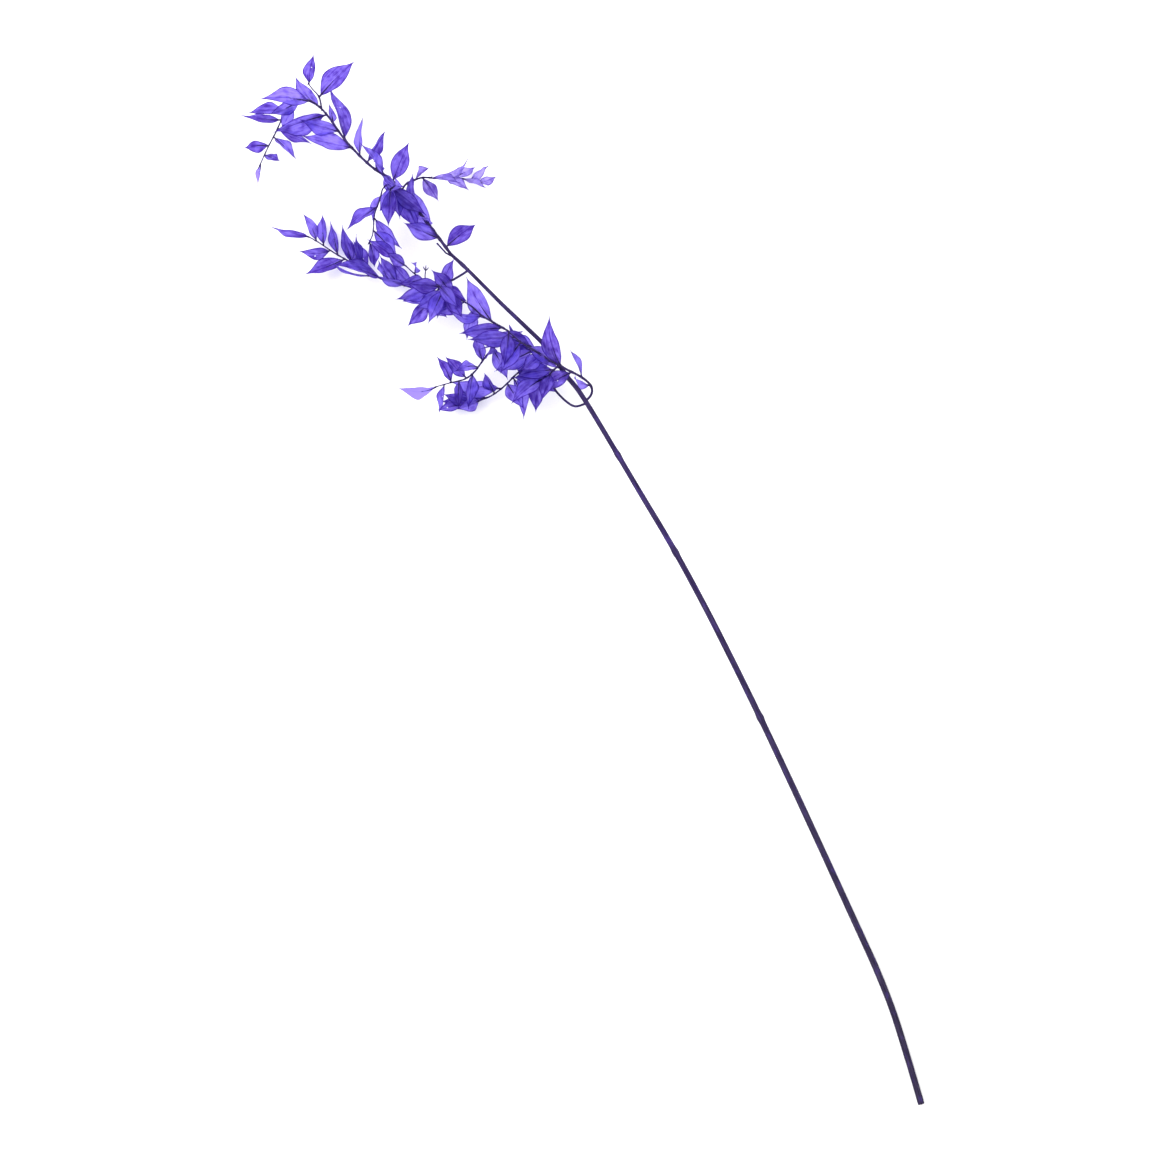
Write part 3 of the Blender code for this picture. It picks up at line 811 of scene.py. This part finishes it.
BLADE_LAYERS = ("blade_place", "blade_mark")
BARK_LAYERS = ("bark_place", "bark_mark")


def new_shell(names):
    """An empty mesh whose vertices carry a vector by each name."""
    shell = bmesh.new()
    for name in names:
        shell.verts.layers.float_vector.new(name)
    return shell


def layers_of(shell, names):
    return [shell.verts.layers.float_vector[name] for name in names]


def place_mesh(shell, name, material):
    """The finished piece from a mesh in millimetres from the cut end."""
    bmesh.ops.recalc_face_normals(shell, faces=shell.faces[:])
    for vertex in shell.verts:
        vertex.co = vertex.co * MM + SHIFT
    for face in shell.faces:
        face.smooth = True
    mesh = bpy.data.meshes.new(name)
    shell.to_mesh(mesh)
    shell.free()
    mesh.materials.append(material)
    piece = bpy.data.objects.new(name, mesh)
    bpy.context.scene.collection.objects.link(piece)
    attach(piece, "root")
    return piece


def pierce(sheet, rows, draw):
    """Makes a small round hole: a vertex goes, and the eight round it move onto a circle."""
    row = draw.randrange(*HOLE_ROWS)
    column = draw.randrange(*HOLE_COLUMNS)
    centre = rows[row][column]
    for up, over in itertools.product((-1, 0, 1), repeat=2):
        if up or over:
            vertex = rows[row + up][column + over]
            vertex.co = centre.co + (vertex.co - centre.co).normalized() * HOLE_RADIUS
    bmesh.ops.delete(sheet, geom=[centre], context="VERTS")


def fine_sheet(blade, tone, draw):
    """The middle surface of a detailed blade, with ripples towards its edges and shallow crumples."""
    sheet = new_shell(BLADE_LAYERS)
    place_layer, mark_layer = layers_of(sheet, BLADE_LAYERS)
    ripples = draw.uniform(*RIPPLES)
    start_left = draw.uniform(0, RIPPLE_TURN)
    start_right = draw.uniform(0, RIPPLE_TURN)
    seed = Vector((draw.uniform(0, NOISE_SPREAD), draw.uniform(0, NOISE_SPREAD), 0))
    rows = []
    for row in range(FINE_ROWS + 1):
        share = row / FINE_ROWS
        half = half_width(share, blade.length, FINE_TIP_HALF_WIDTH)
        fade = math.sin(math.pi * share)
        line = []
        for column in range(FINE_COLUMNS + 1):
            across = 2 * column / FINE_COLUMNS - 1
            wobble = noise.noise(seed + Vector((share * WOBBLES, HALVES_APART * (across > 0), 0)))
            side = across * half * (1 + WOBBLE * wobble)
            centre, out = blade_place(blade, share, side)
            start = start_right if across > 0 else start_left
            ripple = RIPPLE * math.sin(ripples * RIPPLE_TURN * share + start) * across**2 * fade
            spot = Vector((share * blade.length * CRUMPLE_ALONG, side * CRUMPLE_ACROSS, CRUMPLE_LAYER))
            crumple = CRUMPLE * noise.noise(seed + spot) * fade
            vertex = sheet.verts.new(centre + out * (ripple + crumple))
            vertex[place_layer] = (side, half, across)
            vertex[mark_layer] = (share, tone, blade.length)
            line.append(vertex)
        rows.append(line)
    for lower, upper in zip(rows, rows[1:]):
        for corners in zip(lower, lower[1:], upper[1:], upper):
            sheet.faces.new(corners)
    if draw.random() < HOLED_SHARE:
        pierce(sheet, rows, draw)
    return sheet


def add_fine_blade(shell, blade, tone, draw):
    """Adds one closed, detailed blade to the shell. A higher tone gives it a deeper colour."""
    sheet = fine_sheet(blade, tone, draw)
    bmesh.ops.recalc_face_normals(sheet, faces=sheet.faces[:])
    sheet.normal_update()
    for vertex in sheet.verts:
        vertex.co -= vertex.normal * FINE_THICKNESS / 2
    bmesh.ops.solidify(sheet, geom=sheet.faces[:], thickness=-FINE_THICKNESS)
    layers = list(zip(layers_of(sheet, BLADE_LAYERS), layers_of(shell, BLADE_LAYERS)))
    copies = {}
    for vertex in sheet.verts:
        copy = shell.verts.new(vertex.co)
        for source, target in layers:
            copy[target] = vertex[source]
        copies[vertex] = copy
    for face in sheet.faces:
        shell.faces.new([copies[vertex] for vertex in face.verts])
    sheet.free()


def path_length(points):
    return sum((end - start).length for start, end in zip(points, points[1:]))


def join_rings(shell, lower, upper):
    for corners in zip(lower, lower[1:] + lower[:1], upper[1:] + upper[:1], upper):
        shell.faces.new(corners)


def close_ring(shell, ring, middle, cut):
    """Closes a ring with a fan round its middle. Cut is 1 on bare wood and 0 on bark."""
    place_layer, mark_layer = layers_of(shell, BARK_LAYERS)
    centre = shell.verts.new(middle)
    centre[place_layer] = (0.0, 0.0, ring[0][place_layer].z)
    centre[mark_layer] = (ring[0][mark_layer].x, ring[0][mark_layer].y, cut)
    for start, end in zip(ring, ring[1:] + ring[:1]):
        shell.faces.new((start, end, centre))


def add_sawn_face(shell, outer, start, inward):
    """Closes a ring with bare wood round a dark pith."""
    place_layer, mark_layer = layers_of(shell, BARK_LAYERS)
    before = outer
    for size, depth, scar in SAWN_RINGS:
        ring = []
        for vertex in outer:
            copy = shell.verts.new(start + (vertex.co - start) * size + inward * depth)
            copy[place_layer] = vertex[place_layer] * size
            copy[mark_layer] = (0.0, scar, 1.0)
            ring.append(copy)
        join_rings(shell, before, ring)
        before = ring
    close_ring(shell, before, start + inward * PITH_DEPTH, 1.0)


def add_bark(shell, points, radius_at, sides, height_at=None, tip=1.0, cut=False, ridge=0.0, seed=0.0):
    """Adds a round tube along the points. Radius_at takes a share of the way, tip is how far past its end
    the last point reaches in radii, and cut closes its start with a sawn face."""
    place_layer, mark_layer = layers_of(shell, BARK_LAYERS)
    total = path_length(points)
    inward = (points[1] - points[0]).normalized()
    up = Vector((0, 0, 1)) if abs(inward.z) < STEEP else Vector((0, 1, 0))
    sideways = inward.cross(up).normalized()
    rings = []
    reach = 0.0
    for index, point in enumerate(points):
        before = points[max(0, index - 1)]
        after = points[min(len(points) - 1, index + 1)]
        ahead = (after - before).normalized()
        sideways = (sideways - ahead * sideways.dot(ahead)).normalized()
        upward = sideways.cross(ahead)
        reach += (point - before).length
        share = reach / total
        ring = []
        for turn in range(sides):
            angle = 2 * math.pi * turn / sides
            level, rise = math.cos(angle), math.sin(angle)
            spot = Vector((level * GRAIN_ROUND, rise * GRAIN_ROUND, reach * GRAIN_ALONG + seed))
            grain = noise.noise(spot)
            radius = radius_at(share) * (1 - ridge * (0.5 + 0.5 * grain))
            vertex = shell.verts.new(point + (sideways * level + upward * rise) * radius)
            vertex[place_layer] = (level * radius, rise * radius, reach + seed * BARK_JUMP)
            vertex[mark_layer] = (height_at(share) if height_at else 1.0, 0.0, 0.0)
            ring.append(vertex)
        rings.append(ring)
    for lower, upper in zip(rings, rings[1:]):
        join_rings(shell, lower, upper)
    last = points[-1] + (points[-1] - points[-2]).normalized() * radius_at(1.0) * tip
    close_ring(shell, rings[-1], last, 0.0)
    if cut:
        add_sawn_face(shell, rings[0], points[0], inward)
    else:
        close_ring(shell, rings[0], points[0], 0.0)


def swellings(places, width, gain):
    """A factor for a radius that swells at each of the places, in shares of the way."""

    def factor(share):
        return 1 + gain * max((math.exp(-(((share - at) / width) ** 2)) for at in places), default=0)

    return factor


def add_point(shell, spine, radii, draw):
    """Adds a tiny scale or bud that tapers to a point."""
    thinning, least = radii
    add_bark(
        shell,
        spine,
        lambda share: thinning * (POINT_REACH - share) + least,
        BUD_SIDES,
        tip=2.0,
        seed=draw.random(),
    )


def add_rib(shell, blade, draw):
    """The petiole and the dark rib that runs up a blade's middle. A long rib ends in the tiny scale of a
    spent bud."""
    long = draw.random() < LONG_RIB_SHARE
    end = draw.uniform(*(LONG_RIB if long else SHORT_RIB))
    face = draw.choice((-1, 1))
    points = []
    for step in range(RIB_STEPS + 1):
        share = RIB_START + end * step / RIB_STEPS
        centre, out = blade_place(blade, share, 0)
        points.append(centre + out * face * (FINE_THICKNESS / 2) * min(1, share / RIB_SURFACING))
    thinning = RIB_RADIUS + RIB_GROWTH * blade.length
    add_bark(
        shell,
        points,
        lambda share: thinning * (1 - share) ** RIB_TAPER + RIB_LEAST,
        BUD_SIDES,
        seed=draw.random(),
    )
    if long:
        before, _ = blade_place(blade, end + BUD_SIGHT[0], 0)
        after, out = blade_place(blade, end + BUD_SIGHT[1], 0)
        ahead = (after - before).normalized()
        size = draw.uniform(*BUD_LENGTHS)
        spine = [points[-1] + ahead * size * onward + out * face * off for onward, off in BUD_SPINE]
        add_point(shell, spine, BUD_RADII, draw)


def add_scale(shell, root, direction, draw):
    """A tiny pointed scale on a twig, below a blade."""
    lean = Vector([draw.uniform(*span) for span in SCALE_LEANS]) * SCALE_LEAN
    tip = root + (direction + lean).normalized() * draw.uniform(*SCALE_LENGTHS)
    add_point(shell, [root, root.lerp(tip, 0.5), tip], SCALE_RADII, draw)


def add_stub(shell, draw):
    """A stub that broke off below the crown."""
    add_bark(
        shell,
        [Vector(point) for point in STUB],
        lambda share: STUB_RADIUS * (1 - STUB_TAPER * share),
        TWIG_SIDES,
        tip=0.2,
        ridge=0.3,
        seed=draw.random(),
    )


def add_sprout(shell, draw):
    """A sprout of three prongs on the middle spray."""
    stem = [Vector(point) for point in SPROUT]
    add_bark(shell, stem, lambda share: SPROUT_RADIUS, BUD_SIDES, seed=draw.random())
    for prong in SPROUT_PRONGS:
        end = stem[-1] + Vector(prong)
        add_bark(
            shell,
            [stem[-1], stem[-1].lerp(end, 0.5), end],
            lambda share: 0.5 * SPROUT_RADIUS + PRONG_BELLY * math.sin(math.pi * share),
            BUD_SIDES,
            tip=2.0,
            seed=draw.random(),
        )


def stalk_points(step):
    """The stalk's route, with the end that lies on the floor kept level."""
    points = smooth_route(STALK.route, step)
    for point in points:
        point.z = max(point.z, LEVEL_FACET)
    return points


SPRAYS = {
    "crown_spray": (CROWN, CROWN_TOP, CROWN_TUFT),
    "left_spray": (LEFT, LEFT_TUFT),
    "middle_spray": (MIDDLE, MIDDLE_TUFT, MIDDLE_FAN, MIDDLE_TOP, MIDDLE_SIDE),
    "lower_spray": (LOWER,),
    "right_spray": (RIGHT,),
    "hanging_spray": (HANGING,),
}
DRIED_OUT_TWIGS = (CROWN, MIDDLE_SIDE)
ROUTES = {twig: smooth_route(twig.route, ROUTE_STEP) for twigs in SPRAYS.values() for twig in twigs}
ROUTES[STALK] = stalk_points(STALK_STEP)

# The shift from places measured at the cut end to the part's frame, found from a corner of the stalk's box.
STALK_MESH = coarse_tube(ROUTES[STALK], STALK.radii)
STALK_CORNER = [min(vertex.co[axis] for vertex in STALK_MESH.vertices) for axis in range(3)]
SHIFT = Vector(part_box("main_stalk")[0]) - Vector(STALK_CORNER)
SHIFT.z = 0

VIOLET = blade_material(
    "violet_blade",
    film=(0.62, 0.54, 1.0, 1),
    film_deep=(0.26, 0.165, 0.6, 1),
    body=(0.2, 0.13, 0.66, 1),
    body_deep=(0.072, 0.028, 0.29, 1),
)
LILAC = blade_material(
    "lilac_blade",
    film=(0.74, 0.68, 1.0, 1),
    film_deep=(0.36, 0.26, 0.68, 1),
    body=(0.32, 0.23, 0.68, 1),
    body_deep=(0.1, 0.055, 0.28, 1),
)
BARK = bark_material()


def add_stalk():
    """The stalk, with the knots where sprays and old leaves grew."""
    shell = new_shell(BARK_LAYERS)
    knots = swellings(STALK_KNOTS, STALK_KNOT_WIDTH, STALK_KNOT_GAIN)
    change = STALK.radii[1] - STALK_RADIUS
    add_bark(
        shell,
        stalk_points(BARK_STEP),
        lambda share: (STALK_RADIUS + change * share**3) * math.cos(math.pi / 8) * knots(share),
        STALK_SIDES,
        height_at=lambda share: share,
        cut=True,
        ridge=STALK_RIDGE,
    )
    stalk_piece = place_mesh(shell, "stalk_bark", BARK)
    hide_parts("main_stalk")


def add_twig(shell, twig, draw):
    """A twig that swells at each blade, with a scale there."""
    points = smooth_route(twig.route, BARK_STEP)
    stations = leaf_stations(twig)
    swell = swellings(stations, TWIG_KNOT_WIDTH / path_length(points), TWIG_KNOT_GAIN)
    base = twig.radii[0] * TWIG_SHARE
    add_bark(
        shell,
        points,
        lambda share: (base + (TWIG_END_RADIUS - base) * share**TWIG_TAPER) * swell(share),
        TWIG_SIDES,
        tip=3.0,
        ridge=TWIG_RIDGE,
        seed=draw.random(),
    )
    for station in stations:
        add_scale(shell, *along(points, station), draw)


def add_spray(spray, blades, draw):
    """A spray as two pieces: its wood and its blades."""
    twigs = SPRAYS[spray]
    wood = new_shell(BARK_LAYERS)
    leaves = new_shell(BLADE_LAYERS)
    for twig in twigs:
        add_twig(wood, twig, draw)
    for blade in blades:
        tone = draw.random()
        if any((blade.root - ROUTES[twig][-1]).length < DRIED_OUT_REACH for twig in DRIED_OUT_TWIGS):
            tone = DRIED_OUT_TONE
        add_fine_blade(leaves, blade, tone, draw)
        add_rib(wood, blade, draw)
    if CROWN in twigs:
        add_stub(wood, draw)
    if MIDDLE in twigs:
        add_sprout(wood, draw)
    if LEFT in twigs:
        add_scale(wood, Vector(FORK_BUD), Vector(FORK_BUD_AHEAD), draw)
    film = LILAC if spray == "right_spray" else VIOLET
    blade_piece = place_mesh(leaves, spray + "_blades", film)
    place_mesh(wood, spray + "_twigs", BARK)
    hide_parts(spray)


def add_floor():
    """A plain pale sheet of paper under the stem."""
    bpy.ops.mesh.primitive_plane_add(size=2 * FLOOR_HALF, location=(0, 0, 0))
    floor = bpy.context.object
    floor.name = "floor"
    nodes = Nodes("floor_paper")
    tooth = nodes.noise(nodes.add("ShaderNodeTexCoord").outputs["Object"], PAPER_GRAIN, detail=3.0)
    nodes.link(nodes.mix(nodes.ramp(tooth, low=0.3, high=0.7), *PAPER), nodes.shader.inputs["Base Color"])
    nodes.gloss(roughness=0.9, specular=0.1)
    floor.data.materials.append(nodes.material)


def add_light():
    """White light from all round, and a softbox above the stem."""
    world = bpy.data.worlds.new("soft_light")
    bpy.context.scene.world = world
    world.use_nodes = True
    background = world.node_tree.nodes["Background"]
    set_input(background, "Color", (1.0, 1.0, 1.0, 1))
    set_input(background, "Strength", SKY_STRENGTH)

    lamp_data = bpy.data.lights.new("softbox", "AREA")
    lamp_data.shape = "RECTANGLE"
    lamp_data.size, lamp_data.size_y = SOFTBOX_SIZE
    lamp_data.energy = SOFTBOX_WATTS
    lamp = bpy.data.objects.new("softbox", lamp_data)
    lamp.location = SOFTBOX_PLACE
    lamp.rotation_euler = (-lamp.location).to_track_quat("-Z", "Y").to_euler()
    lamp.visible_camera = False
    bpy.context.scene.collection.objects.link(lamp)


def add_camera():
    """A camera straight above the stem, which runs slantwise through its view as in the photo."""
    camera_data = bpy.data.cameras.new("camera")
    camera_data.sensor_width = SENSOR_WIDTH
    camera_data.lens = SENSOR_WIDTH * CAMERA_DISTANCE / VIEW_WIDTH
    camera = bpy.data.objects.new("camera", camera_data)
    camera.location = (0, 0, CAMERA_DISTANCE + SPRAY_HEIGHT)
    bpy.context.scene.collection.objects.link(camera)
    bpy.context.scene.camera = camera
    view = bpy.context.scene.view_settings
    view.view_transform = "Standard"
    view.look = "None"


add_stalk()
fine_draw = random.Random(FINE_SEED)
blades = settled_blades(SPRAYS, ROUTES)
for spray in SPRAYS:
    add_spray(spray, [blade for name, blade in blades if name == spray], fine_draw)
add_floor()
add_light()
add_camera()

bpy.context.view_layer.update()
